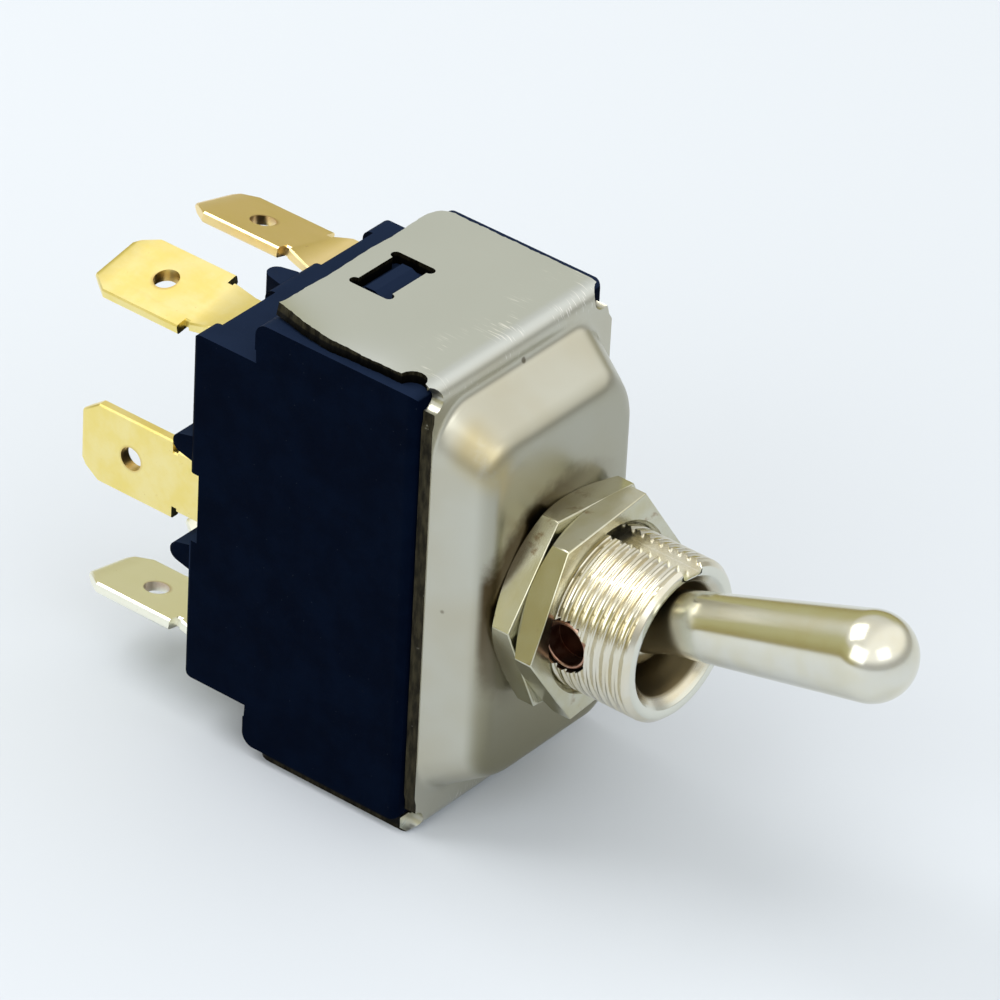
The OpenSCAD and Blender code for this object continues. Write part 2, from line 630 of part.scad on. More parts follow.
case_body();  // case
cover_body();  // cover
bushing_body();  // bushing
nut_in_body();  // nut_inner
nut_out_body();  // nut_outer
lever_body();  // lever
pin_body();  // pivot_pin
arm_body();  // arm
plunger_body(-1);  // plunger_a
plunger_body(1);  // plunger_b
spring_body(-1);  // spring_a
spring_body(1);  // spring_b
blade_body(-1);  // blade_a
blade_body(1);  // blade_b
moving_contacts(-1);  // moving_contacts_a
moving_contacts(1);  // moving_contacts_b
fixed_contacts(-1);  // fixed_contacts_a
fixed_contacts(1);  // fixed_contacts_b
end_terminal(-1, 1, twist_up_a);  // tab_up_a
end_terminal(1, 1, twist_up_b);  // tab_up_b
mid_terminal(-1);  // tab_mid_a
mid_terminal(1);  // tab_mid_b
end_terminal(-1, -1, twist_down_a);  // tab_down_a
end_terminal(1, -1, twist_down_b);  // tab_down_b
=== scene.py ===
import math

import bmesh
import bpy
import numpy as np
from mathutils import Euler, Matrix, Vector


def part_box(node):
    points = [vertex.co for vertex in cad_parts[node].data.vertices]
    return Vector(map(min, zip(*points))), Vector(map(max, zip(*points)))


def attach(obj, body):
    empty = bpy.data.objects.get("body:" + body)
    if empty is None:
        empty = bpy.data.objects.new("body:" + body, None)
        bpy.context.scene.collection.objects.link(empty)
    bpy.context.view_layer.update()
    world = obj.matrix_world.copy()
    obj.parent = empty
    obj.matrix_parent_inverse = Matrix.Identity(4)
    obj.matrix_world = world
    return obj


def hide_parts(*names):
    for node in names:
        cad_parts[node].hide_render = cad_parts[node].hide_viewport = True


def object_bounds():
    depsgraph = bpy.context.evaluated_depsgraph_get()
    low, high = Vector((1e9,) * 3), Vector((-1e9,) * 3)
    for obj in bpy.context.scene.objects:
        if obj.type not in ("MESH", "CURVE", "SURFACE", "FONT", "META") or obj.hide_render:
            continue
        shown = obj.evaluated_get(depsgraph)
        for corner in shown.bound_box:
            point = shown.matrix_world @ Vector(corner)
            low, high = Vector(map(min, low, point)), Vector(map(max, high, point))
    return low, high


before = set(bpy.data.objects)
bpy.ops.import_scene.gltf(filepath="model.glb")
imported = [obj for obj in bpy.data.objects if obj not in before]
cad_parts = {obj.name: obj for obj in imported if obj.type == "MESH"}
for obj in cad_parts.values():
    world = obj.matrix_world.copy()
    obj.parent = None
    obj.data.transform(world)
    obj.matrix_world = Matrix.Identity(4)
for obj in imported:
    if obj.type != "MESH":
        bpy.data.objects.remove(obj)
cadLow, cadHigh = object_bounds()
scene = bpy.context.scene
scene.view_settings.view_transform = "Standard"
mm = 0.001
print("frame loaded,", len(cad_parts), "nodes")


# ---- meshes ----

# quads of a grid: each joins point (i, j) with (i, j+1), (i+1, j+1) and (i+1, j)
def gridFaces(rows, columns, wrapRows, wrapColumns, start):
    index = np.arange(rows * columns).reshape(rows, columns) + start
    if wrapRows:
        index = np.vstack([index, index[:1]])
    if wrapColumns:
        index = np.hstack([index, index[:, :1]])
    return np.stack([index[:-1, :-1], index[:-1, 1:], index[1:, 1:], index[1:, :-1]], -1).reshape(-1, 4)


# gathers grids and end caps, in millimetres, and turns them into one piece
class Sheets:
    def __init__(self):
        self.points, self.faces, self.total = [], [], 0

    # grid is (rows, columns, 3); keep marks the quads that are not cut away
    def grid(self, grid, wrapRows=False, wrapColumns=False, keep=None):
        faces = gridFaces(grid.shape[0], grid.shape[1], wrapRows, wrapColumns, self.total)
        if keep is not None:
            faces = faces[keep.reshape(-1)]
        self.points.append(grid.reshape(-1, 3))
        self.faces += faces.tolist()
        self.total += grid.shape[0] * grid.shape[1]

    # fan from the middle point of a ring to each of its edges
    def cap(self, ring):
        n = len(ring)
        near = np.arange(n) + self.total
        fan = np.stack([near, np.roll(near, -1), np.full(n, self.total + n)], -1)
        self.points.append(np.vstack([ring, ring.mean(0)]))
        self.faces += fan.tolist()
        self.total += n + 1

    # merged mesh with its normals turned outwards
    def mesh(self, name, closed=True, sharp=35):
        made = bpy.data.meshes.new(name)
        made.from_pydata((np.vstack(self.points) * mm).tolist(), [], self.faces)
        cleaned(made, closed)
        made.set_sharp_from_angle(angle=math.radians(sharp))
        return made


# merges doubles, and on a closed shell turns every face outwards
def cleaned(mesh, closed=True, flat=0):
    work = bmesh.new()
    work.from_mesh(mesh)
    bmesh.ops.remove_doubles(work, verts=work.verts, dist=2e-7)
    if flat:
        bmesh.ops.dissolve_limit(work, angle_limit=math.radians(flat), verts=work.verts, edges=work.edges)
    if closed:
        bmesh.ops.recalc_face_normals(work, faces=work.faces)
    for face in work.faces:
        face.smooth = True
    work.to_mesh(mesh)
    work.free()


# object in the scene, standing for CAD nodes and moving with their body
def placed(name, mesh, nodes, body, slotName, *finishes):
    piece = bpy.data.objects.new(name, mesh)
    scene.collection.objects.link(piece)
    mesh.materials.clear()
    for finish in finishes:
        mesh.materials.append(finish)
    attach(piece, body)
    if nodes:
        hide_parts(*nodes)
    return piece


# mesh of a piece with all its modifiers worked in
def workedIn(piece, sharp=35):
    graph = bpy.context.evaluated_depsgraph_get()
    mesh = bpy.data.meshes.new_from_object(piece.evaluated_get(graph))
    piece.modifiers.clear()
    piece.data = mesh
    mesh.set_sharp_from_angle(angle=math.radians(sharp))
    return piece


# cuts closed meshes away from a piece
def cutAway(piece, cutters):
    for cutter in cutters:
        tool = bpy.data.objects.new("cutter", cutter)
        scene.collection.objects.link(tool)
        cut = piece.modifiers.new("cut", "BOOLEAN")
        cut.operation, cut.object, cut.solver = "DIFFERENCE", tool, "MANIFOLD"
        bpy.context.view_layer.update()
        workedIn(piece)
        bpy.data.objects.remove(tool)


# closed ring stack: each ring is a circle of its radius at its distance along the axis
def turned(profile, sides, centre=(0, 0, 0), axis="y"):
    profile = np.asarray(profile, float)
    angle = np.linspace(0, 2 * np.pi, sides, endpoint=False)
    r, s = profile[:, :1], profile[:, 1:] * np.ones(sides)
    u, v = r * np.cos(angle), r * np.sin(angle)
    order = {"x": (s, u, v), "y": (u, s, v), "z": (u, v, s)}[axis]
    return np.stack(order, -1) + np.asarray(centre)


# closed solid of revolution as a mesh
def turnedMesh(name, profile, sides, centre=(0, 0, 0), axis="y", sharp=35):
    rings = turned(profile, sides, centre, axis)
    sheets = Sheets()
    sheets.grid(rings, wrapColumns=True)
    sheets.cap(rings[0])
    sheets.cap(rings[-1])
    return sheets.mesh(name, sharp=sharp)


# box between two corners as a mesh
def boxMesh(name, low, high):
    x, y, z = np.meshgrid(*[[low[k], high[k]] for k in range(3)], indexing="ij")
    points = np.stack([x, y, z], -1).reshape(-1, 3) * mm
    mesh = bpy.data.meshes.new(name)
    faces = [(0, 1, 3, 2), (4, 6, 7, 5), (0, 4, 5, 1), (2, 3, 7, 6), (0, 2, 6, 4), (1, 5, 7, 3)]
    mesh.from_pydata(points.tolist(), [], faces)
    cleaned(mesh)
    return mesh


# rounded copy of a CAD node: flat faces joined, then its long sharp edges bevelled
def softened(node, body, slotName, finish, width, segments=2, longest=2.5, angle=50):
    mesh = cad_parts[node].data.copy()
    mesh.name = node + ".look"
    cleaned(mesh, closed=False, flat=0.6)
    work = bmesh.new()
    work.from_mesh(mesh)
    weight = work.edges.layers.float.new("bevel_weight_edge")
    for edge in work.edges:
        sharp = edge.is_manifold and edge.calc_face_angle_signed(0) > math.radians(angle)
        edge[weight] = 1.0 if sharp and edge.calc_length() > longest * mm else 0.0
    work.to_mesh(mesh)
    work.free()
    mesh.set_sharp_from_angle(angle=math.radians(28))
    piece = placed(node + ".look", mesh, [node], body, slotName, finish)
    bevel = piece.modifiers.new("edges", "BEVEL")
    bevel.width, bevel.segments, bevel.limit_method = width * mm, segments, "WEIGHT"
    bevel.use_clamp_overlap, bevel.harden_normals = True, False
    even = piece.modifiers.new("even", "WEIGHTED_NORMAL")
    even.weight, even.keep_sharp = 100, True
    return piece


# ---- finishes ----

# a number on its way through a shader; Python's operators add Math nodes
class Flow:
    def __init__(self, finish, socket):
        self.finish, self.socket = finish, socket

    def maths(self, kind, other, swapped=False):
        pair = {0: other, 1: self} if swapped else {0: self, 1: other}
        return self.finish.node("ShaderNodeMath", {"operation": kind}, pair)

    def __add__(self, other): return self.maths("ADD", other)
    def __radd__(self, other): return self.maths("ADD", other)
    def __sub__(self, other): return self.maths("SUBTRACT", other)
    def __rsub__(self, other): return self.maths("SUBTRACT", other, True)
    def __mul__(self, other): return self.maths("MULTIPLY", other)
    def __rmul__(self, other): return self.maths("MULTIPLY", other)
    def __truediv__(self, other): return self.maths("DIVIDE", other)
    def __pow__(self, other): return self.maths("POWER", other)
    def least(self, other): return self.maths("MINIMUM", other)
    def size(self): return self.maths("ABSOLUTE", 0.0)

    # 0 below low, 1 above high, and a smooth step between them
    def step(self, low, high):
        sockets = {"Value": self, "From Min": low, "From Max": high}
        return self.finish.node("ShaderNodeMapRange", {"interpolation_type": "SMOOTHSTEP"}, sockets)


# a material under construction, with its place on the object in millimetres
class Finish:
    def __init__(self, name, **fixed):
        self.material = bpy.data.materials.new(name)
        self.material.use_nodes = True
        self.tree = self.material.node_tree
        self.surface = self.tree.nodes["Principled BSDF"]
        for socket, value in fixed.items():
            self.surface.inputs[socket.replace("_", " ")].default_value = value
        coordinates = self.node("ShaderNodeTexCoord", out="Object")
        self.place = self.node("ShaderNodeVectorMath", {"operation": "SCALE"}, {0: coordinates, "Scale": 1000.0})
        self.x, self.y, self.z = (self.node("ShaderNodeSeparateXYZ", {}, {0: self.place}, k) for k in range(3))

    # any node: its settings first, then the values or links of its sockets
    def node(self, kind, settings=None, sockets=None, out=0):
        made = self.tree.nodes.new(kind)
        for key, value in (settings or {}).items():
            setattr(made, key, value)
        for key, value in (sockets or {}).items():
            self.feed(made.inputs[key], value)
        return Flow(self, made.outputs[out])

    def feed(self, socket, value):
        if isinstance(value, Flow):
            self.tree.links.new(value.socket, socket)
        else:
            socket.default_value = value

    # cloudy noise between 0 and 1; stretch divides the grain's length along each axis
    def noise(self, scale, detail=3.0, rough=0.5, stretch=(1, 1, 1), turn=(0, 0, 0), warp=0.0):
        where = self.place
        if stretch != (1, 1, 1) or turn != (0, 0, 0):
            where = self.node("ShaderNodeMapping", {}, {"Vector": where, "Scale": stretch, "Rotation": turn})
        sockets = {"Vector": where, "Scale": scale, "Detail": detail, "Roughness": rough, "Distortion": warp}
        return self.node("ShaderNodeTexNoise", {}, sockets)

    # distance to the nearest of many scattered points
    def specks(self, scale, stretch=(1, 1, 1), turn=(0, 0, 0)):
        where = self.node("ShaderNodeMapping", {}, {"Vector": self.place, "Scale": stretch, "Rotation": turn})
        return self.node("ShaderNodeTexVoronoi", {}, {"Vector": where, "Scale": scale})

    def blend(self, factor, a, b):
        return self.node("ShaderNodeMix", {"data_type": "RGBA"}, {0: factor, 6: a, 7: b}, 2)

    def bump(self, height, strength, distance, over=None):
        sockets = {"Height": height, "Strength": strength, "Distance": distance * mm}
        if over is not None:
            sockets["Normal"] = over
        return self.node("ShaderNodeBump", {}, sockets)

    def wear(self, **signals):
        for socket, value in signals.items():
            self.feed(self.surface.inputs[socket.replace("_", " ")], value)
        return self.material


def rgb(r, g, b):
    return (r, g, b, 1.0)


caseLook = {
    "deep": rgb(0.0003, 0.0018, 0.0075), "lit": rgb(0.0008, 0.0032, 0.0115),
    "paintedSheen": rgb(0.010, 0.018, 0.042), "dust": rgb(0.05, 0.06, 0.08), "gloss": 0.012, "grain": 5.0, "edge": 0.28,
}


# moulded black: two navy tones by slow noise, a painted slate sheen on faces turned up, fine grain, sparse dust
def mouldedBlack():
    f = Finish("moulded black", Specular_IOR_Level=caseLook["gloss"])
    slow = f.noise(0.35, 4.0, 0.6)
    grain = f.noise(caseLook["grain"], 3.0, 0.6)
    dust = 1 - f.specks(1.1).step(0.015, 0.06)
    facing = f.node("ShaderNodeTexCoord", out="Normal")
    up = f.node("ShaderNodeSeparateXYZ", {}, {0: facing}, 2).step(0.25, 0.95)
    colour = f.blend(slow.step(0.3, 0.7), caseLook["deep"], caseLook["lit"])
    # painted sheen: faces turned up are blended towards a slate-blue colour that stands in for light on them
    colour = f.blend(up * (0.75 + slow * 0.5), colour, caseLook["paintedSheen"])
    colour = f.blend(dust * 0.35, colour, caseLook["dust"])
    rough = 0.42 + slow * 0.16 + grain * 0.08
    return f.wear(Base_Color=colour, Roughness=rough, Normal=f.bump(grain + slow * 2.0, 0.3, 0.03))


coverLook = {
    "dome": rgb(0.535, 0.53, 0.455), "flap": rgb(0.585, 0.605, 0.575), "warm": rgb(0.50, 0.475, 0.375),
    "darkPatch": rgb(0.055, 0.032, 0.008), "olive": rgb(0.185, 0.17, 0.10),
    "gold": rgb(0.42, 0.33, 0.13),
    "rough": 0.25, "grainTurn": math.radians(38),
    "nutRadius": 8.9,
}


# satin nickel on drawn sheet: slow warm clouds, a rolled grain, scratches by the bends, dark brown round the nut, a
# painted olive shade on the flat front face and a painted gold reflection on the dome's near upper wall
def satinNickel():
    c = coverLook
    f = Finish("satin nickel", Metallic=1.0)
    slow = f.noise(0.12, 3.0, 0.5)
    cloud = f.noise(0.5, 4.0, 0.6)
    fine = f.noise(2.2, 4.0, 0.6)
    rolled = f.noise(3.0, 2.0, 0.5, (1, 0.12, 1))
    far = f.z.size()
    onFlap = far.step(17.2, 18.0)
    nearBend = far.step(16.2, 17.6) * (1 - f.y.step(10.5, 13.0))
    marks = f.noise(1.5, 2.0, 0.4, (6, 0.4, 1), (0, 0, c["grainTurn"])).step(0.60, 0.68)
    marks = marks * nearBend * f.noise(0.35, 1.0).step(0.45, 0.6)
    radial = (f.x * f.x + f.z * f.z) ** 0.5
    front = 1 - f.y.step(4.5, 5.0)
    upNear = (0.4 * f.z - 0.6 * f.x).step(-2.0, 6.5)
    # darker brown round the nut on its upper near side, with a cloudy edge
    darkPatch = (1 - (radial + cloud * 1.8).step(c["nutRadius"], c["nutRadius"] + 1.7)) * front * upNear
    # painted shade: the flat front face is blended towards olive, more towards its lower end
    paintedShade = (1 - f.y.step(4.3, 5.4)) * (0.85 - 0.45 * f.z.step(-13.0, 4.0))
    # painted reflection: a patchy gold band on the near upper wall of the dome
    upSlope = f.z - f.y * 0.6
    corner = (-1 * f.x).step(5.2, 7.6) * upSlope.step(7.4, 9.6) * (1 - upSlope.step(10.4, 12.4))
    bloomAndPaintedReflection = corner * (1 - f.y.step(6.4, 7.8)) * cloud.step(0.1, 0.5)
    spots = (1 - f.specks(0.16).step(0.03, 0.05)) * 0.7
    colour = f.blend(slow.step(0.3, 0.7), c["dome"], c["warm"])
    colour = f.blend(onFlap, colour, c["flap"])
    colour = f.blend(paintedShade, colour, c["olive"])
    colour = f.blend(bloomAndPaintedReflection * 0.6, colour, c["gold"])
    colour = f.blend(darkPatch * 0.95, colour, c["darkPatch"])
    colour = f.blend(spots, colour, c["darkPatch"])
    colour = f.blend(marks * 0.8, colour, rgb(0.85, 0.84, 0.8))
    rough = c["rough"] + slow * 0.08 + fine * 0.04 + marks * 0.1 + onFlap * 0.08
    height = fine * 0.3 + rolled * 0.5 + marks * 1.2
    return f.wear(Base_Color=colour, Roughness=rough, Normal=f.bump(height, 0.08, 0.02))


# sheared steel edge: dark olive-brown bare metal with streaks across the sheet, painted glints, and painted shade,
# near black, on the inner part of the edges behind the bends
def shearedEdge():
    f = Finish("sheared edge", Metallic=1.0)
    streak = f.noise(2.5, 3.0, 0.6, (1, 1, 0.3))
    # painted glints: random light patches on the edge
    paintedGlint = f.noise(1.3, 3.0, 0.7).step(0.68, 0.76)
    # painted shade: behind the bends, the inner part of each cut edge, towards the case, goes near black
    paintedShadeInner = 1 - (f.z.size() - f.y.step(8.0, 9.0) * 17.75).step(0.0, 0.12) * f.y.step(9.4, 9.6)
    colour = f.blend(streak.step(0.3, 0.75), rgb(0.012, 0.010, 0.006), rgb(0.06, 0.052, 0.03))
    colour = f.blend(paintedGlint * 0.5, colour, rgb(0.45, 0.43, 0.35))
    colour = f.blend(paintedShadeInner * f.y.step(9.4, 9.6) * 0.9, colour, rgb(0.006, 0.006, 0.006))
    return f.wear(Base_Color=colour, Roughness=0.4 + streak * 0.25, Normal=f.bump(streak, 0.4, 0.03))


# bright nickel: grey-gold clouds, faint turning marks round the axis, brown bloom in the clouds' hollows
def brightNickel(name, base, warm, rough, turnAxis="y", marks=0.15, bloomAndPaintedReflection=0.0):
    f = Finish(name, Metallic=1.0)
    slow = f.noise(0.4, 3.0, 0.55)
    fine = f.noise(6.0, 3.0, 0.6)
    stretch = {"x": (6, 0.3, 0.3), "y": (0.3, 6, 0.3), "z": (0.3, 0.3, 6)}[turnAxis]
    lathe = f.noise(1.4, 2.0, 0.5, stretch)
    nicks = 1 - f.specks(0.9).step(0.02, 0.06)
    rust = f.noise(0.55, 4.0, 0.65, warp=0.6).step(0.60, 0.72)
    colour = f.blend(slow.step(0.3, 0.75), base, warm)
    colour = f.blend(rust * bloomAndPaintedReflection, colour, rgb(0.22, 0.11, 0.03))
    colour = f.blend(nicks * 0.3, colour, rgb(0.85, 0.82, 0.7))
    height = lathe * marks + fine * 0.12 - nicks * 0.4
    rough = rough + fine * 0.05 + slow * 0.05
    return f.wear(Base_Color=colour, Roughness=rough, Normal=f.bump(height, 0.2, 0.02))


# thread nickel: bright outside, duller turned end face, a painted highlight, near white, on the key's floor, and
# painted shade, dark brown-olive, on the wall of the bore
def threadNickel():
    f = Finish("thread nickel", Metallic=1.0)
    slow = f.noise(0.4, 3.0, 0.55)
    fine = f.noise(6.0, 3.0, 0.6)
    radial = (f.x * f.x + f.z * f.z) ** 0.5
    bore = (1 - radial.step(4.25, 4.5)) * f.y.step(-5.9, -5.4)
    colour = f.blend(slow.step(0.3, 0.75), rgb(0.72, 0.69, 0.59), rgb(0.68, 0.62, 0.46))
    # painted highlight: the key's floor is near white
    keyFloor = (1 - radial.step(5.05, 5.25)) * f.z.step(4.7, 4.85)
    colour = f.blend(keyFloor, colour, rgb(0.98, 0.97, 0.93))
    mouth = (1 - f.y.step(-6.15, -5.9)) * (1 - radial.step(5.5, 5.6))
    colour = f.blend(mouth, colour, rgb(0.70, 0.70, 0.61))
    # painted shade: the wall of the bore goes dark brown-olive
    colour = f.blend(bore * 0.92, colour, rgb(0.13, 0.095, 0.04))
    height = fine * 0.12 + slow * 0.3
    rough = 0.17 + fine * 0.05 + bore * 0.2
    return f.wear(Base_Color=colour, Roughness=rough, Normal=f.bump(height, 0.2, 0.02))


tabLook = {
    "gold": rgb(0.92, 0.75, 0.24), "pale": rgb(0.95, 0.81, 0.36), "rose": rgb(0.98, 0.76, 0.40),
    "white": rgb(0.98, 0.98, 0.88),
    "tarnish": rgb(0.40, 0.17, 0.04), "rough": 0.26,
}


# bright brass strip: rolled grain along its length, slow tint, brown tarnish round the hole and in fine spots
def brightBrass():
    t, s = tabLook, tabShape
    f = Finish("bright brass", Metallic=1.0)
    slow = f.noise(0.4, 4.0, 0.6)
    fine = f.noise(2.0, 4.0, 0.7)
    rolled = f.noise(3.0, 3.0, 0.6, (1, 0.1, 1))
    along = f.y - s["holeY"]
    endColumn = ((f.x.size() - s["endX"]) ** 2 + (f.z.size() - s["endZ"]) ** 2 + along ** 2) ** 0.5
    midColumn = ((f.x.size() - s["midX"]) ** 2 + f.z ** 2 + along ** 2) ** 0.5
    atHole = 1 - endColumn.least(midColumn).step(s["hole"] * 0.9, s["hole"] * 1.35)
    farTab = f.x.step(0.0, 2.0) * f.z.step(2.0, 6.0)
    spots = fine.step(0.64, 0.76)
    colour = f.blend(slow.step(0.3, 0.7), t["gold"], t["pale"])
    colour = f.blend((-1 * f.z).step(6.0, 10.0) * 0.9, colour, t["white"])
    colour = f.blend(farTab * (0.55 + slow * 0.5).least(1.0), colour, t["rose"])
    colour = f.blend(spots * 0.3 + atHole * (0.35 + fine * 0.5), colour, t["tarnish"])
    rough = t["rough"] + rolled * 0.10 + spots * 0.12
    return f.wear(Base_Color=colour, Roughness=rough, Normal=f.bump(rolled + slow, 0.15, 0.02))


# bare copper-coloured rivet: bright at its rim, dark brown in the hollow ends
def copperPin():
    f = Finish("copper pin", Metallic=1.0)
    slow = f.noise(1.2, 4.0, 0.6)
    radial = (f.z * f.z + (f.y - pinShape["centreY"]) ** 2) ** 0.5
    hollow = 1 - radial.step(pinShape["hollow"] - 0.06, pinShape["hollow"] + 0.06)
    colour = f.blend(slow.step(0.3, 0.7), rgb(0.30, 0.14, 0.09), rgb(0.62, 0.44, 0.34))
    colour = f.blend(hollow * 0.98, colour, rgb(0.03, 0.010, 0.005))
    return f.wear(Base_Color=colour, Roughness=0.25 + slow * 0.2, Normal=f.bump(slow, 0.3, 0.03))


# unplated inside metal or plastic: two tones by noise with a light bump
def plain(name, dark, light, metallic, rough):
    f = Finish(name, Metallic=metallic)
    slow = f.noise(0.9, 4.0, 0.6)
    colour = f.blend(slow.step(0.3, 0.7), dark, light)
    return f.wear(Base_Color=colour, Roughness=rough + slow * 0.1, Normal=f.bump(slow, 0.2, 0.03))


tabShape = {
    "width": 6.35, "thick": 0.8, "length": 11.05, "neck": 5.0, "neckLength": 2.75, "chamfer": 1.6, "coin": 0.5,
    "hole": 0.9, "holeFromEnd": 4.55, "edge": 0.12, "notch": 0.22,
    "twist": {"up_a": 11, "up_b": -15, "down_a": -11, "down_b": 11, "mid_a": 0, "mid_b": 0},
}
pinShape = {"radius": 1.8, "hollow": 1.52, "depth": 1.3, "bevel": 0.1}
endLow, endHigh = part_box("tab_down_b")
midHigh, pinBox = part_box("tab_mid_b")[1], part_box("pivot_pin")
endTurn = math.radians(tabShape["twist"]["down_b"])
endHang = tabShape["width"] / 2 * math.sin(endTurn) + tabShape["thick"] / 2 * math.cos(endTurn)
tabShape["holeY"] = endHigh.y / mm - tabShape["holeFromEnd"]
tabShape["rear"] = endHigh.y / mm - tabShape["length"]
tabShape["endX"] = (endLow.x + endHigh.x) / 2 / mm
tabShape["endZ"] = -endLow.z / mm - endHang
tabShape["midX"] = midHigh.x / mm - tabShape["thick"] / 2
pinShape["centreY"] = (pinBox[0].y + pinBox[1].y) / 2 / mm
pinShape["half"] = pinBox[1].x / mm

black = mouldedBlack()
nickelSheet, sheared = satinNickel(), shearedEdge()
bushingNickel = threadNickel()
nutNickel = brightNickel("nut nickel", rgb(0.58, 0.57, 0.46), rgb(0.51, 0.48, 0.32), 0.17, "y", 0.3, 0.6)
leverNickel = brightNickel("lever nickel", rgb(0.72, 0.71, 0.63), rgb(0.70, 0.67, 0.54), 0.14, "y", 0.1)
brass, copper = brightBrass(), copperPin()
nylon = plain("natural nylon", rgb(0.55, 0.50, 0.38), rgb(0.68, 0.64, 0.52), 0.0, 0.4)
bladeCopper = plain("blade copper", rgb(0.62, 0.28, 0.14), rgb(0.75, 0.42, 0.24), 1.0, 0.25)
silver = plain("contact silver", rgb(0.62, 0.61, 0.58), rgb(0.82, 0.81, 0.78), 1.0, 0.25)
springSteel = plain("spring steel", rgb(0.35, 0.35, 0.36), rgb(0.55, 0.55, 0.56), 1.0, 0.25)
for node, finish in [
    ("arm", nylon), ("plunger_a", nylon), ("plunger_b", nylon),
    ("spring_a", springSteel), ("spring_b", springSteel), ("blade_a", bladeCopper), ("blade_b", bladeCopper),
    ("moving_contacts_a", silver), ("moving_contacts_b", silver),
    ("fixed_contacts_a", silver), ("fixed_contacts_b", silver),
]:
    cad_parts[node].data.materials.clear()
    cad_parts[node].data.materials.append(finish)
print("finishes made")


# ---- case, tabs, nuts and pin ----

softened("case", "housing", "case", black, caseLook["edge"], 3)
softened("nut_inner", "housing", "nuts", nutNickel, 0.08, 2, 1.2, 25)
softened("nut_outer", "housing", "nuts", nutNickel, 0.08, 2, 1.2, 25)
print("case and nuts rounded")


# stations along a tab, behind the rear face: distance, half width, half thickness and share of the twist
def tabStations(t):
    flat, neck, blade = t["thick"] / 2, t["neck"] / 2, t["width"] / 2
    twistFrom, twistTo = 0.5, t["neckLength"] - 0.45
    turning = [(twistFrom + (twistTo - twistFrom) * k, neck, flat, k) for k in np.linspace(0, 1, 12)]
    notched = [(t["neckLength"] - 0.44, neck - t["notch"], flat, 1),
               (t["neckLength"], neck - t["notch"], flat, 1)]
    tip = blade - t["chamfer"] * 0.72
    end = t["length"]
    coinX = blade - (t["chamfer"] - t["coin"]) * 0.72
    tail = [(t["neckLength"] + 0.01, blade, flat, 1), (end - t["chamfer"], blade, flat, 1),
            (end - t["coin"], coinX, flat, 1), (end, tip, flat * 0.5, 1)]
    return np.array([(-0.6, neck, flat, 0)] + turning + notched + tail)


# tab blade: an eight-sided section of its half width and thickness, turned by the twist about the tab's axis
def tabLoft(t, centre, twist, upright):
    y, half, flat, share = tabStations(t).T[:, :, None]
    e = t["edge"]
    wide = np.array([1, -1, -1, -1, -1, 1, 1, 1]) * (half - e * np.array([1, 1, 0, 0, 1, 1, 0, 0]))
    bevelled = np.minimum(e, flat * 0.6) * np.array([0, 0, 1, 1, 0, 0, 1, 1])
    thick = np.array([1, 1, 1, -1, -1, -1, -1, 1]) * (flat - bevelled)
    turn = -np.radians(twist) * share
    across = wide * np.cos(turn) + thick * np.sin(turn)
    over = thick * np.cos(turn) - wide * np.sin(turn)
    x, z = (over, across) if upright else (across, over)
    return np.stack([x + centre[0], y + t["rear"] + 0 * x, z + centre[1]], -1)


# the part of a tab's CAD solid in front of a depth, closed where it is cut
def innerPart(node, depth):
    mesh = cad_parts[node].data.copy()
    cleaned(mesh, closed=False)
    work = bmesh.new()
    work.from_mesh(mesh)
    everything = work.verts[:] + work.edges[:] + work.faces[:]
    place, facing = (0, depth * mm, 0), (0, 1, 0)
    bmesh.ops.bisect_plane(work, geom=everything, plane_co=place, plane_no=facing, clear_outer=True)
    bmesh.ops.holes_fill(work, edges=[edge for edge in work.edges if edge.is_boundary])
    work.to_mesh(mesh)
    work.free()
    return mesh


# a tab: the blade behind the case with its hole, and the CAD foot and strip inside the case
def makeTab(t, row, side):
    upright = row == "mid"
    sign = 1 if side == "b" else -1
    endCentre = (sign * t["endX"], t["endZ"] * (1 if row == "up" else -1))
    centre = (sign * t["midX"], 0.0) if upright else endCentre
    sheets = Sheets()
    rings = tabLoft(t, centre, t["twist"][row + "_" + side], upright)
    sheets.grid(rings, wrapColumns=True)
    sheets.cap(rings[0])
    sheets.cap(rings[-1])
    name = "tab_" + row + "_" + side
    piece = placed(name + ".look", sheets.mesh(name + ".look", sharp=25), [name], "housing", "tab", brass)
    drill = turnedMesh("drill", [(t["hole"], -3), (t["hole"], 3)], 40, (0, 0, 0), "x" if upright else "z")
    turn = Matrix.Rotation(math.radians(t["twist"][row + "_" + side]), 4, "Y")
    drill.transform(Matrix.Translation(Vector((centre[0], t["holeY"], centre[1])) * mm) @ turn)
    cutAway(piece, [drill])
    piece.data.set_sharp_from_angle(angle=math.radians(25))
    inside = innerPart(name, t["rear"] - 0.3)
    inside.set_sharp_from_angle(angle=math.radians(25))
    placed(name + ".foot", inside, [name], "housing", "tab", brass)


for side in ("a", "b"):
    for row in ("up", "mid", "down"):
        makeTab(tabShape, row, side)
print("tabs made")


# pivot pin: a turned rivet with a hollow in each end
def makePin(p):
    half, r, h, b = p["half"], p["radius"], p["hollow"], p["bevel"]
    end = [(h, half - p["depth"]), (h, half - 0.06), (h + 0.06, half), (r - b, half), (r, half - b)]
    profile = [(radius, -x) for radius, x in end] + end[::-1]
    mesh = turnedMesh("pivot_pin.look", profile, 64, (0, p["centreY"], 0), "x")
    placed("pivot_pin.look", mesh, ["pivot_pin"], "housing", "pin", copper)


makePin(pinShape)


# ---- cover ----

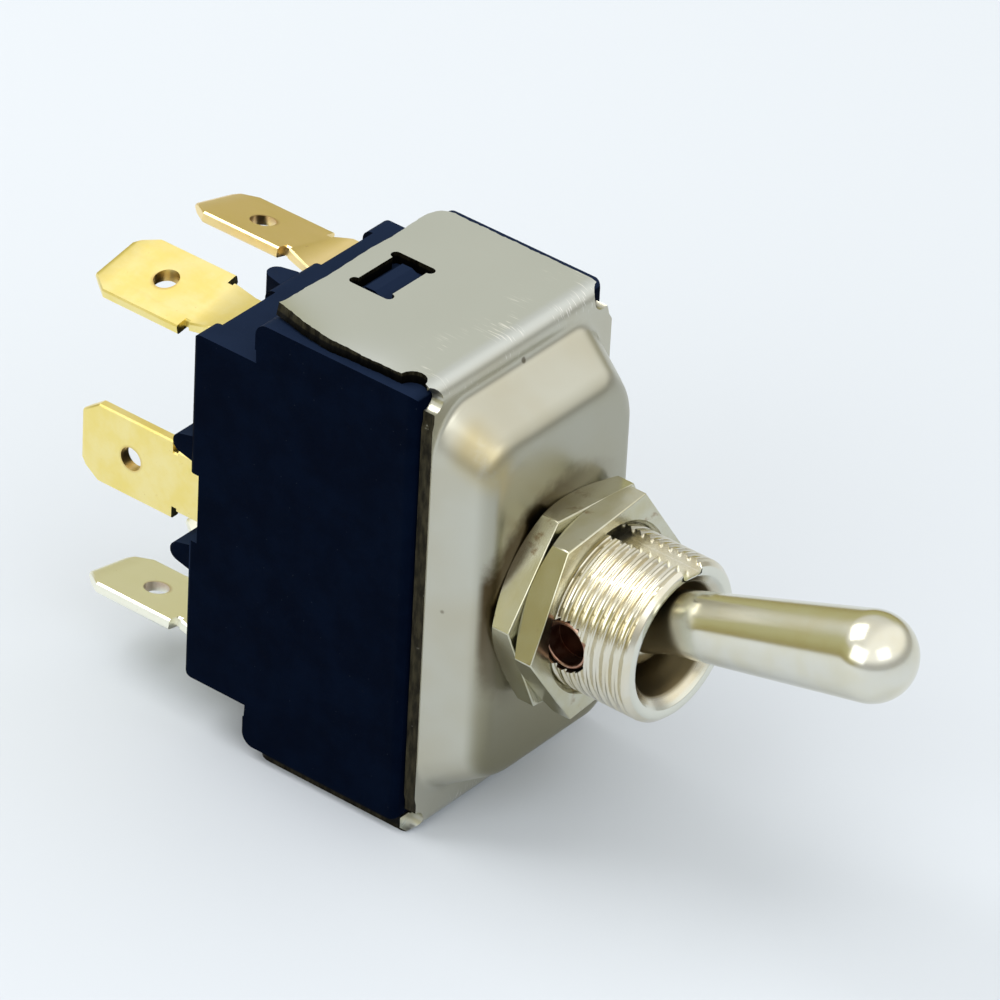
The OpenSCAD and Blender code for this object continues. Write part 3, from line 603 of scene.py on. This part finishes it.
coverShape = {
    "top": 4.12, "rise": 4.1, "sheet": 0.95, "topHalf": (7.9, 13.7), "baseHalf": (9.35, 16.0),
    "round": 1.8, "corner": 3.4, "foot": (0.12, 0.9), "width": 9.5, "flapZ": 18.15, "bend": 1.3,
    "flapHalf": 8.9, "flapX": -0.45, "shoulder": 15.0, "flapEnd": 18.4, "backCorner": 1.3, "hole": 6.0,
    "slotHalf": 2.55, "slotFront": 13.72, "slotBack": 16.67, "lobe": 0.38,
    "shear": (0.95, 13.4), "lift": 0.2, "burr": 0.05, "bite": (6.15, 1.05), "notch": 0.9,
    "farIn": 0.9, "lowIn": 0.7, "flatShare": 0.25,
}


# half outline of the dome's wall: round at the top, straight lean, then a foot fillet; rows of (depth, half size)
def wallProfile(topHalf, baseHalf, c, foot):
    lean = math.atan2(baseHalf - topHalf, c["rise"])
    r = c["round"]
    start = topHalf - r * math.tan((math.pi / 2 - lean) / 2)
    turn = np.linspace(0, math.pi / 2 - lean, 8)
    rounded = np.stack([r * (1 - np.cos(turn)), start + r * np.sin(turn)], -1)
    tangent = foot * math.tan((math.pi / 2 - lean) / 2)
    low = np.array([c["rise"] - tangent * math.cos(lean), baseHalf - tangent * math.sin(lean)])
    back = np.linspace(0, math.pi / 2 - lean, 7)
    centre = low + foot * np.array([-math.sin(lean), math.cos(lean)])
    filleted = centre + foot * np.stack([np.sin(lean + back), -np.cos(lean + back)], -1)
    wall = rounded[-1] + (low - rounded[-1]) * np.linspace(0, 1, 8)[1:-1, None]
    return np.vstack([rounded, wall, filleted])


# closed rounded rectangle: points by side and corner, with the same count in every ring; also gives the end share
def ringOutline(halfX, halfZ, corner, ends=15, arcs=16, sides=26):
    t = np.linspace(0, 1, ends, endpoint=False)
    a = np.linspace(0, math.pi / 2, arcs, endpoint=False)
    s = np.linspace(0, 1, sides, endpoint=False)
    inX, inZ = halfX - corner, halfZ - corner
    x = np.concatenate([-inX + 2 * inX * t, inX + corner * np.sin(a), np.full(sides, halfX)])
    z = np.concatenate([np.full(ends, halfZ), inZ + corner * np.cos(a), inZ - 2 * inZ * s])
    endShare = np.concatenate([np.ones(ends), np.cos(a) ** 2, np.zeros(sides)])
    x2 = np.concatenate([inX - 2 * inX * t, -inX - corner * np.sin(a)])
    x = np.concatenate([x, inX + corner * np.cos(a), x2, np.full(sides, -halfX), -inX - corner * np.cos(a)])
    z = np.concatenate([z, -inZ - corner * np.sin(a), np.full(ends, -halfZ), -inZ - corner * np.cos(a),
                        -inZ + 2 * inZ * s, inZ + corner * np.sin(a)])
    lowShare = [np.sin(a) ** 2, np.ones(ends), np.cos(a) ** 2, np.zeros(sides), np.sin(a) ** 2]
    endShare = np.concatenate([endShare] + lowShare)
    return x, z, endShare


# smooth step of x between low and high, for arrays
def eased(x, low, high):
    t = np.clip((x - low) / (high - low), 0, 1)
    return t * t * (3 - 2 * t)


# dome outline, its far side moved in by farIn and its low end up by lowIn, both eased in over the half;
# share scales both moves, and is small at the flat so that it stays outside the bushing's hole
def domeOutline(c, halfX, halfZ, share):
    x, z, endShare = ringOutline(halfX, halfZ, c["corner"])
    x = x - share * c["farIn"] * eased(x, 2.0, halfX)
    z = z + share * c["lowIn"] * eased(-z, 6.0, halfZ)
    return x, z, endShare


# outer face of the cover: rings from the bushing hole to the plate's edge, then the bends and flaps
def coverSheet(c):
    across, along = (wallProfile(c["topHalf"][k], c["baseHalf"][k], c, c["foot"][k]) for k in (0, 1))
    rings = []
    moved = np.minimum(c["flatShare"] + np.arange(len(across)) / 8, 1)
    x0, z0, _ = domeOutline(c, across[0, 1], along[0, 1], moved[0])
    angle = np.arctan2(x0, z0)
    for t in np.linspace(0, 1, 12)[:-1]:
        hole = np.stack([np.sin(angle), np.cos(angle)], -1) * c["hole"]
        flat = hole * (1 - t) + np.stack([x0, z0], -1) * t
        rings.append(np.stack([flat[:, 0], np.zeros(len(x0)), flat[:, 1]], -1))
    for (depthX, halfX), (depthZ, halfZ), share in zip(across, along, moved):
        x, z, endShare = domeOutline(c, halfX, halfZ, share)
        rings.append(np.stack([x, depthX + (depthZ - depthX) * endShare, z], -1))
    plateZ = c["flapZ"] - c["bend"]
    x, z, _ = ringOutline(across[-1, 1], along[-1, 1], c["corner"])
    ratio = np.maximum(np.abs(x) / c["width"], np.abs(z) / plateZ)
    outer = np.stack([x / ratio, np.full(len(x), c["rise"]), z / ratio], -1)
    snap = np.argmin(np.abs(outer[:, :1] - np.array([1, 1, -1, -1]) * c["width"])
                     + np.abs(outer[:, 2:] - np.array([1, -1, 1, -1]) * plateZ), axis=0)
    signs = [(1, 1), (1, -1), (-1, 1), (-1, -1)]
    outer[snap] = [[sx * c["width"], c["rise"], sz * plateZ] for sx, sz in signs]
    narrow = np.abs(outer[:, 2]) > c["shoulder"]
    drawnIn = c["flapX"] + outer[:, 0] * c["flapHalf"] / c["width"]
    beside = np.abs(outer[:, 2]) < plateZ - 1e-6
    foot = np.where(x > 0, np.maximum(drawnIn, x + 0.12), np.minimum(drawnIn, x - 0.12))
    outer[:, 0] = np.where(narrow, np.where(beside, foot, drawnIn), outer[:, 0])
    for t in (0.5, 1.0):
        rings.append(rings[-1] * (1 - t) + outer * t if t < 1 else outer)
    sheets = Sheets()
    sheets.grid(np.stack(rings), wrapColumns=True)
    for end in (1, -1):
        edge = outer[np.abs(outer[:, 2] - end * plateZ) < 1e-6]
        columns = np.sort(edge[:, 0])
        sheets.grid(flapSheet(c, columns, end))
    return sheets


# bend and flap: an arc of the bend radius, then straight back. x runs over [-flapHalf, flapHalf] about flapX;
# the far rear corner is round, the near one on the upper flap is sheared off, lifted and wavy
def flapSheet(c, columns, end):
    turn = np.linspace(0, math.pi / 2, 9)
    bendY = c["rise"] + c["bend"] * (1 - np.cos(turn))
    bendZ = c["flapZ"] - c["bend"] + c["bend"] * np.sin(turn)
    back = np.linspace(bendY[-1], c["flapEnd"], 60)[1:]
    y = np.concatenate([bendY, back])[:, None] * np.ones(len(columns))
    z = np.concatenate([bendZ, np.full(len(back), c["flapZ"])])[:, None] * np.ones(len(columns))
    x = (columns[None, :] - c["flapX"]) * np.ones((y.shape[0], 1))
    share = np.clip((y - bendY[-1]) / (c["flapEnd"] - bendY[-1]), 0, 1)
    r = c["backCorner"]
    past = np.clip((y - (c["flapEnd"] - r)) / r, 0, 0.999)
    rounded = r * (1 - np.sqrt(1 - past ** 2)) / c["flapHalf"]
    cut = rounded
    if end > 0:
        depth, start = c["shear"]
        slope = np.clip((y - start) / (c["flapEnd"] - start), 0, 1)
        ramp = np.clip((y - c["rise"]) / c["bend"], 0, 1)
        near = (depth * slope ** 1.4 + 0.25 * ramp * np.clip(1 - share * 1.6, 0, 1)) / c["flapHalf"]
        cut = np.where(x < 0, near, rounded)
        edge = np.clip(-x / c["flapHalf"], 0, 1) ** 8
        z = z + c["lift"] * edge * slope ** 2 - 0.12 * edge * np.sin(share * 6)
        wave = np.sin(x * 0.9 + 0.6) + np.sin(x * 4.1) * 0.35 + np.sin(x * 9.7 + 1) * 0.3
        y = y + c["burr"] * wave * share ** 10
        side = np.sin(y * 2.3) * 0.5 + np.sin(y * 7.1) * 0.4 + np.sin(y * 13.0) * 0.3
        x = x + c["burr"] * side * np.abs(x / c["flapHalf"]) ** 10 * np.clip(share * 4, 0, 1)
    x = x * (1 - cut)
    return np.stack([x + c["flapX"], y, z * end], -1)


# drawn cover: the outer face thickened inwards, then slots, notches and the bushing hole cut
def makeCover(c):
    sheets = coverSheet(c)
    sheets.points = [p + np.array([0, c["top"], 0]) for p in sheets.points]
    mesh = sheets.mesh("cover.look")
    flatEnd = c["top"] * mm + 1e-5
    facing = sum(face.normal.y * face.area for face in mesh.polygons if face.center.y < flatEnd)
    if facing > 0:
        mesh.flip_normals()
    piece = placed("cover.look", mesh, ["cover"], "housing", "cover", nickelSheet, sheared)
    wall = piece.modifiers.new("sheet", "SOLIDIFY")
    wall.thickness, wall.offset = c["sheet"] * mm, -1
    wall.use_even_offset, wall.material_offset_rim = True, 1
    bpy.context.view_layer.update()
    workedIn(piece)
    left, right = c["flapX"] - c["slotHalf"], c["flapX"] + c["slotHalf"]
    front, back = c["slotFront"] + c["top"], c["slotBack"] + c["top"]
    cutters = [boxMesh("slot", (left, front, -25), (right, back, 25))]
    lobe = [(c["lobe"], -25), (c["lobe"], 25)]
    for x in (left + c["lobe"], right - c["lobe"]):
        cutters += [turnedMesh("lobe", lobe, 24, (x, y, 0), "z") for y in (front, back)]
    notch = [(c["notch"], -0.5), (c["notch"], c["bend"])]
    for x in (-1, 1):
        for z in (-1, 1):
            inside = z * (c["flapZ"] - c["sheet"] - 0.1)
            centre = (c["flapX"] + x * c["flapHalf"], c["rise"] + c["top"], inside)
            cutters.append(turnedMesh("notch", notch, 24, centre, "y"))
    biteY, biteRadius = c["bite"]
    bite = [(biteRadius, c["flapZ"] - 2), (biteRadius, c["flapZ"] + 1)]
    cutters.append(turnedMesh("bite", bite, 18, (c["flapX"] - c["flapHalf"], biteY + c["top"], 0), "z"))
    cutAway(piece, cutters)
    mesh = piece.data
    count = len(mesh.polygons)
    normal, centre, slot = np.empty(count * 3), np.empty(count * 3), np.empty(count, np.int32)
    mesh.polygons.foreach_get("normal", normal)
    mesh.polygons.foreach_get("center", centre)
    mesh.polygons.foreach_get("material_index", slot)
    bendEnd = (c["top"] + c["rise"] + c["bend"] + 0.02) * mm
    slot[(centre[1::3] > bendEnd) & (np.abs(normal[2::3]) < 0.6)] = 1
    mesh.polygons.foreach_set("material_index", slot)
    return piece


cover = makeCover(coverShape)
print("cover drawn,", len(cover.data.polygons), "faces")


# ---- bushing ----

bushingShape = {
    "dome": 4.12, "crest": 5.95, "root": 5.64, "pitch": 0.79375, "end": 10.35, "bevel": 0.4, "rowsPerPitch": 14,
    "bore": 4.15, "mouth": 4.9, "mouthDepth": 0.75, "keyHalf": 1.1, "keyFloor": 5.0, "keyTurn": 8.0,
    "keyStop": 0.3, "pinY": -0.68, "pinHole": 1.98, "base": (6.2, 10.0, 1.3), "plug": 5.9,
}


# thread: crest radius less a narrow rounded groove of the helix's phase, cut back at the bevelled end
def threadRadius(b, y, angle):
    phase = (y / b["pitch"] + angle / (2 * math.pi)) % 1.0
    groove = np.clip(1 - np.abs(phase - 0.5) / 0.27, 0, 1)
    groove = groove * groove * (3 - 2 * groove)
    crown = 0.05 * (2 * phase - 1) ** 4
    radius = b["crest"] - crown - (b["crest"] - b["root"]) * groove
    return np.minimum(radius, b["crest"] + (y + b["end"]) - b["bevel"])


# rings round the bushing, one row per y: an arc of the given radius, then the key's wall, floor and wall;
# keyed is 1 where the key is cut and 0 where the arc goes on
def bushingRings(b, y, radius, keyed, columns=216):
    y, keyed = np.asarray(y, float)[:, None], np.asarray(keyed, float)[:, None]
    gap = math.asin(b["keyHalf"] / b["crest"])
    angle = np.linspace(gap, 2 * math.pi - gap, columns)[None, :]
    arcAngle = np.linspace(-gap, gap, 16)[None, 1:-1]
    r, arcR = radius(y, angle), radius(y, arcAngle)
    x, z = r * np.sin(angle), r * np.cos(angle)
    wall = np.linspace(0, 1, 5)[None, 1:]
    rimZ = r[:, :1] * math.cos(gap)
    down = rimZ + (b["keyFloor"] - rimZ) * wall
    flatX = np.linspace(-b["keyHalf"], b["keyHalf"], 8)[None, 1:-1] + 0 * y
    keyX = np.hstack([-b["keyHalf"] + 0 * down, flatX, b["keyHalf"] + 0 * down])
    keyZ = np.hstack([down, b["keyFloor"] + 0 * flatX, down[:, ::-1]])
    keyZ = np.minimum(keyZ, np.maximum(rimZ, b["keyFloor"]))
    x = np.hstack([x, keyed * keyX + (1 - keyed) * arcR * np.sin(arcAngle)])
    z = np.hstack([z, keyed * keyZ + (1 - keyed) * arcR * np.cos(arcAngle)])
    c, s = math.cos(math.radians(b["keyTurn"])), math.sin(math.radians(b["keyTurn"]))
    return np.stack([x * c + z * s, y + 0 * x, z * c - x * s], -1)


# threaded bushing: rings down the outside, round the mouth and back up the bore, closed into a tube
def makeBushing(b):
    wave = lambda y, angle: threadRadius(b, y, angle)
    rows = int(b["end"] / b["pitch"] * b["rowsPerPitch"])
    threadY = np.linspace(-0.02, -b["end"] + 0.02, rows)
    rim = b["crest"] - b["bevel"] - 0.03
    inner = np.array([(b["mouth"] + 0.04, -b["end"]), (b["mouth"], -b["end"] + 0.03),
                      (b["bore"] + 0.1, -b["end"] + b["mouthDepth"] - 0.1), (b["bore"], -b["end"] + b["mouthDepth"]),
                      (b["bore"], -7.0), (b["bore"], -4.0), (b["bore"], 0.0), (b["bore"], 2.2), (b["plug"], 2.2)])
    even = lambda radii: lambda y, angle: np.asarray(radii, float)[:, None] + 0 * angle
    rings = [
        bushingRings(b, [0.9, 0.0], even([b["plug"], b["plug"]]), [0, 0]),
        bushingRings(b, threadY, wave, threadY < -b["keyStop"]),
        bushingRings(b, [-b["end"]], even([rim]), [1]),
        bushingRings(b, inner[:, 1], even(inner[:, 0]), np.zeros(len(inner))),
    ]
    sheets = Sheets()
    sheets.grid(np.vstack(rings) + np.array([0, b["dome"], 0]), wrapRows=True, wrapColumns=True)
    mesh = sheets.mesh("bushing.look", sharp=50)
    piece = placed("bushing.look", mesh, ["bushing"], "housing", "bushing", bushingNickel)
    hole = turnedMesh("hole", [(b["pinHole"], -9), (b["pinHole"], 9)], 64, (0, b["pinY"], 0), "x")
    cutAway(piece, [hole])
    piece.data.set_sharp_from_angle(angle=math.radians(50))
    halfX, halfZ, thick = b["base"]
    inside = b["dome"] + coverShape["sheet"] + 0.02
    plate = boxMesh("bushing.base", (-halfX, inside, -halfZ), (halfX, inside + thick, halfZ))
    base = placed("bushing.base", plate, ["bushing"], "housing", "bushing", bushingNickel)
    cutAway(base, [turnedMesh("bore", [(b["plug"], 4), (b["plug"], 8)], 64)])
    return piece


bushing = makeBushing(bushingShape)
print("bushing cut,", len(bushing.data.polygons), "faces")


# ---- lever ----

leverShape = {
    "throw": 16.75, "pivotY": -0.68, "hub": 3.9, "neck": 2.25, "neckStart": 5.6, "tip": 3.15, "length": 21.9,
    "tail": 1.75, "tailEnd": -13.8, "pinHole": 1.85,
}


# bat lever: tail, ball, neck, taper to the round end, each as (radius, distance) along its axis
def makeLever(v):
    joinTail = math.acos(v["tail"] / v["hub"])
    joinNeck = math.acos((v["neck"] + 0.2) / v["hub"])
    ball = np.linspace(-joinTail, joinNeck, 40)
    hub = np.stack([v["hub"] * np.cos(ball), v["hub"] * np.sin(ball)], -1)
    slope = math.asin((v["tip"] - v["neck"]) / (v["length"] - v["neckStart"]))
    end = np.linspace(-slope, math.pi / 2, 28)
    tip = np.stack([v["tip"] * np.cos(end), v["length"] + v["tip"] * np.sin(end)], -1)[:-1]
    along = np.linspace(0, 1, 26)[:-1]
    neckEnd = np.array([v["neck"], v["neckStart"]])
    taper = neckEnd + (tip[0] - neckEnd) * along[:, None]
    waist = np.array([(v["neck"] + 0.16, 3.6), (v["neck"] + 0.07, 4.2), (v["neck"] + 0.02, 4.8)])
    tail = np.array([(0.9, v["tailEnd"]), (v["tail"] - 0.3, v["tailEnd"]), (v["tail"], v["tailEnd"] + 0.3)])
    profile = np.vstack([tail, hub, waist, taper, tip])
    turn = math.radians(90 - v["throw"])
    rings = turned(profile, 96, (0, 0, 0), "z")
    spin = np.array([[1, 0, 0], [0, math.cos(turn), math.sin(turn)], [0, -math.sin(turn), math.cos(turn)]])
    sheets = Sheets()
    sheets.grid(rings @ spin + np.array([0, v["pivotY"], 0]), wrapColumns=True)
    sheets.cap(sheets.points[0].reshape(rings.shape)[0])
    sheets.cap(sheets.points[0].reshape(rings.shape)[-1])
    piece = placed("lever.look", sheets.mesh("lever.look"), ["lever"], "lever", "lever", leverNickel)
    hole = turnedMesh("hole", [(v["pinHole"], -9), (v["pinHole"], 9)], 48, (0, v["pivotY"], 0), "x")
    cutAway(piece, [hole])
    return piece


lever = makeLever(leverShape)
print("lever turned,", len(lever.data.polygons), "faces")


# ---- floor, light and camera ----

stageLook = {
    "floor": rgb(0.615, 0.652, 0.712), "floorSize": 3.0, "key": 3.45, "fill": 0.7, "side": 1.7, "glow": 0.82,
    "horizon": rgb(0.40, 0.33, 0.09), "wall": rgb(0.66, 0.64, 0.34), "front": rgb(0.62, 0.63, 0.62),
    "sky": rgb(0.95, 0.96, 0.94), "top": rgb(1.1, 1.1, 1.08), "window": rgb(1.5, 1.5, 1.46),
}


# flat pale floor with a very faint mottle
def makeFloor(s):
    f = Finish("pale floor", Specular_IOR_Level=0.2)
    soft = f.noise(0.01, 2.0)
    colour = f.blend(soft, s["floor"], tuple(c * 0.985 for c in s["floor"][:3]) + (1.0,))
    material = f.wear(Base_Color=colour, Roughness=0.6 + soft * 0.1)
    half = s["floorSize"] / 2 / mm
    sheets = Sheets()
    x, y = np.meshgrid(np.linspace(-half, half, 9), np.linspace(-half, half, 9))
    sheets.grid(np.stack([x, y, np.full(x.shape, cadLow.z / mm - 0.02)], -1))
    mesh = sheets.mesh("floor", closed=False)
    if mesh.polygons[0].normal.z < 0:
        mesh.flip_normals()
    floor = bpy.data.objects.new("floor", mesh)
    mesh.materials.append(material)
    scene.collection.objects.link(floor)


makeFloor(stageLook)


# room light: bright above, an olive wall behind the object with a dark gold band at the horizon, pale in front
def makeWorld(s):
    world = bpy.data.worlds.new("studio")
    scene.world = world
    world.use_nodes = True
    sky = Finish.__new__(Finish)
    sky.tree, sky.surface = world.node_tree, world.node_tree.nodes["Background"]
    toward = sky.node("ShaderNodeTexCoord", out="Generated")
    y, z = (sky.node("ShaderNodeSeparateXYZ", {}, {0: toward}, k) for k in (1, 2))
    wall = sky.blend(z.step(-0.05, 0.34), s["horizon"], s["wall"])
    wall = sky.blend(y.step(-0.25, 0.3), s["front"], wall)
    high = sky.blend(z.step(0.55, 0.95), s["sky"], s["top"])
    room = sky.blend(z.step(0.42, 0.56), wall, high)
    room = sky.blend((1 - y.step(-0.25, 0.2)) * z.step(0.15, 0.45), room, s["window"])
    sky.feed(sky.surface.inputs["Color"], room)
    sky.surface.inputs["Strength"].default_value = s["glow"]


makeWorld(stageLook)


# rectangular soft light aimed at the object's middle
def softLight(name, place, size, power, colour=(1, 1, 1)):
    data = bpy.data.lights.new(name, "AREA")
    data.shape, data.size, data.size_y = "RECTANGLE", size[0], size[1]
    data.energy, data.color = power, colour
    light = bpy.data.objects.new(name, data)
    light.location = place
    aim = Vector((0, 0.01, 0)) - Vector(place)
    light.rotation_euler = aim.to_track_quat("-Z", "Y").to_euler()
    scene.collection.objects.link(light)


softLight("key", (-0.12, 0.45, 0.72), (0.55, 0.45), stageLook["key"], (1.0, 0.99, 0.96))
softLight("fill", (-0.25, -0.7, 0.55), (0.5, 0.4), stageLook["fill"], (0.93, 0.96, 1.0))
softLight("side", (-0.75, 0.05, 0.42), (0.6, 0.5), stageLook["side"], (0.94, 0.97, 1.0))

cameraPlace = {"place": (-0.380153, -0.280746, 0.325933), "turn": (56.0407, -2.5618, -50.9051), "lens": 308.272}
camera = bpy.data.objects.new("camera", bpy.data.cameras.new("camera"))
camera.location = cameraPlace["place"]
camera.rotation_euler = Euler([math.radians(a) for a in cameraPlace["turn"]], "XYZ")
camera.data.lens, camera.data.sensor_width = cameraPlace["lens"], 36.0
camera.data.clip_start, camera.data.clip_end = 0.01, 20.0
scene.collection.objects.link(camera)
scene.camera = camera
print("floor, light and camera set")
